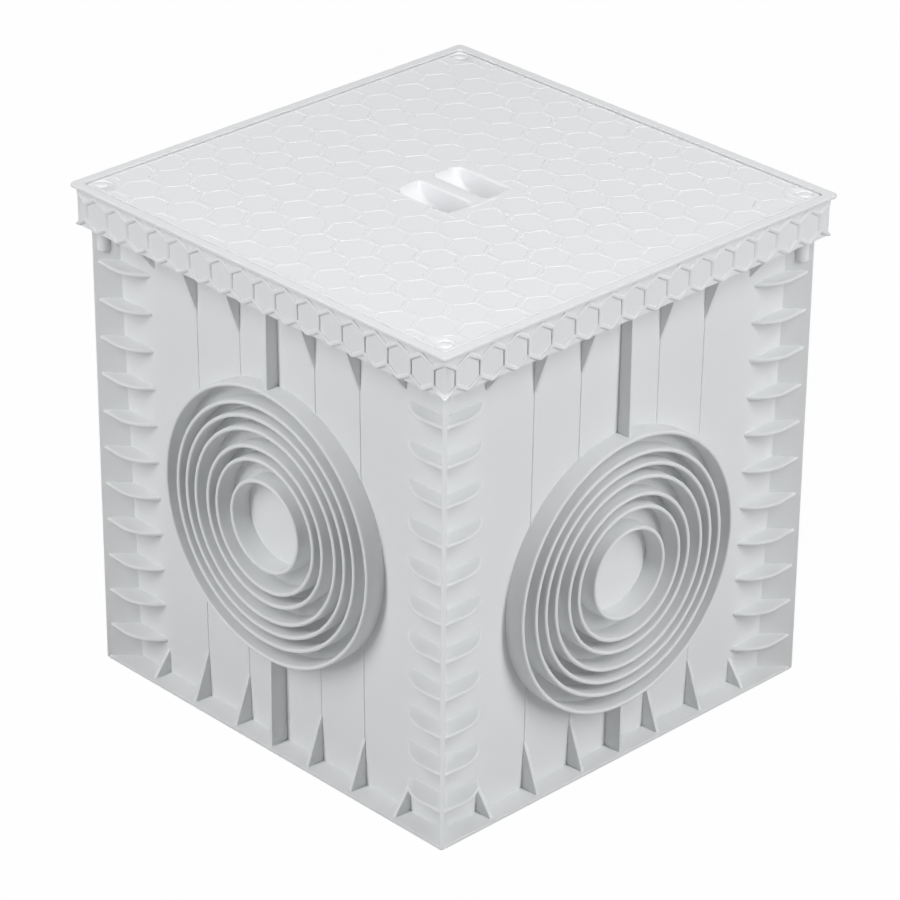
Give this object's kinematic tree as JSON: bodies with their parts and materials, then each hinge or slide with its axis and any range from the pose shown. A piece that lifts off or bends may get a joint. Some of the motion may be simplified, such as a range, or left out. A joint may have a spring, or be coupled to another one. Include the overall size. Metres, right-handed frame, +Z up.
{
  "type": "drain inspection chamber",
  "caption": "Square moulded plastic drain inspection chamber with concentric knock-out rings for pipes on every wall and a loose drop-in lid.",
  "frame": {"origin": "centre of the underside of the foot", "axes": "+Z up along the chamber's axis, +X and +Y square to the walls; the lower rings face -Y and +Y, the higher ones -X and +X"},
  "size_m": [0.297, 0.297, 0.3],
  "materials": {
    "body_plastic": "satin moulded polypropylene",
    "lid_plastic": "satin moulded polypropylene"
  },
  "bodies": {
    "root": {"body": "body_plastic", "lid": "lid_plastic"}
  },
  "joints": []
}
